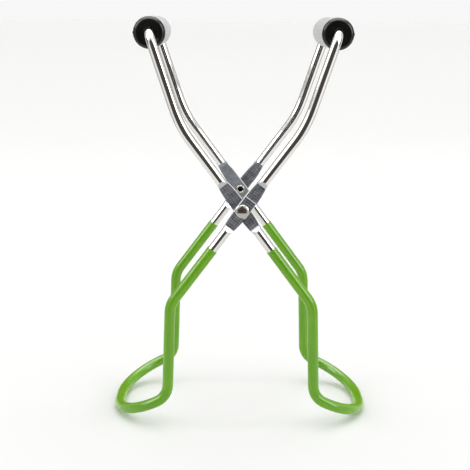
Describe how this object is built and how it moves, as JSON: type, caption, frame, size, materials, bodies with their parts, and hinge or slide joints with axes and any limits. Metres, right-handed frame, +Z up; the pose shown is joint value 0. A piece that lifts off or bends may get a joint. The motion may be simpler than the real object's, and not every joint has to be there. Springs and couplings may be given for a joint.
{
  "type": "jar lifter",
  "caption": "Scissor-action wire jar lifter with riveted pivots, turning rollers on its jaws and vinyl-dipped looped handles.",
  "frame": {"origin": "on the ground under the middle of the lifter as it stands on its handle bows", "axes": "+Z up, from the handle bows to the jaw rollers; +Y from the front arms to the rear arms, along the rollers; +X across the jaws"},
  "size_m": [0.136, 0.0874, 0.2097],
  "materials": {
    "chrome_wire": "bright chrome plate, with matt pressed strips at the pivots",
    "green_vinyl": "glossy dipped vinyl",
    "white_sleeve": "smooth satin white",
    "black_cap": "semi-gloss moulded",
    "rivet_steel": "polished head",
    "washer_steel": "plain plated"
  },
  "bodies": {
    "inner_half": {"inner_frame_wire": "chrome_wire", "inner_handle_grip": "green_vinyl", "spacer_washer_front": "washer_steel", "spacer_washer_rear": "washer_steel"},
    "outer_half": {"outer_frame_wire": "chrome_wire", "outer_handle_grip": "green_vinyl", "pivot_rivet_front": "rivet_steel", "pivot_rivet_rear": "rivet_steel"},
    "inner_roller": {"inner_roller_sleeve": "white_sleeve", "inner_roller_cap_front": "black_cap", "inner_roller_cap_rear": "black_cap"},
    "outer_roller": {"outer_roller_sleeve": "white_sleeve", "outer_roller_cap_front": "black_cap", "outer_roller_cap_rear": "black_cap"}
  },
  "joints": [
    {"name": "scissor_pivot", "type": "hinge", "parent": "inner_half", "child": "outer_half", "pos_m": [0, 0, 0.11329], "axis": [0, 1, 0], "range_deg": [-18, 12]},
    {"name": "inner_roller_spin", "type": "hinge", "parent": "inner_half", "child": "inner_roller", "pos_m": [-0.04719, 0, 0.20163], "axis": [0, 1, 0], "continuous": true},
    {"name": "outer_roller_spin", "type": "hinge", "parent": "outer_half", "child": "outer_roller", "pos_m": [0.04719, 0, 0.20163], "axis": [0, 1, 0], "continuous": true}
  ]
}
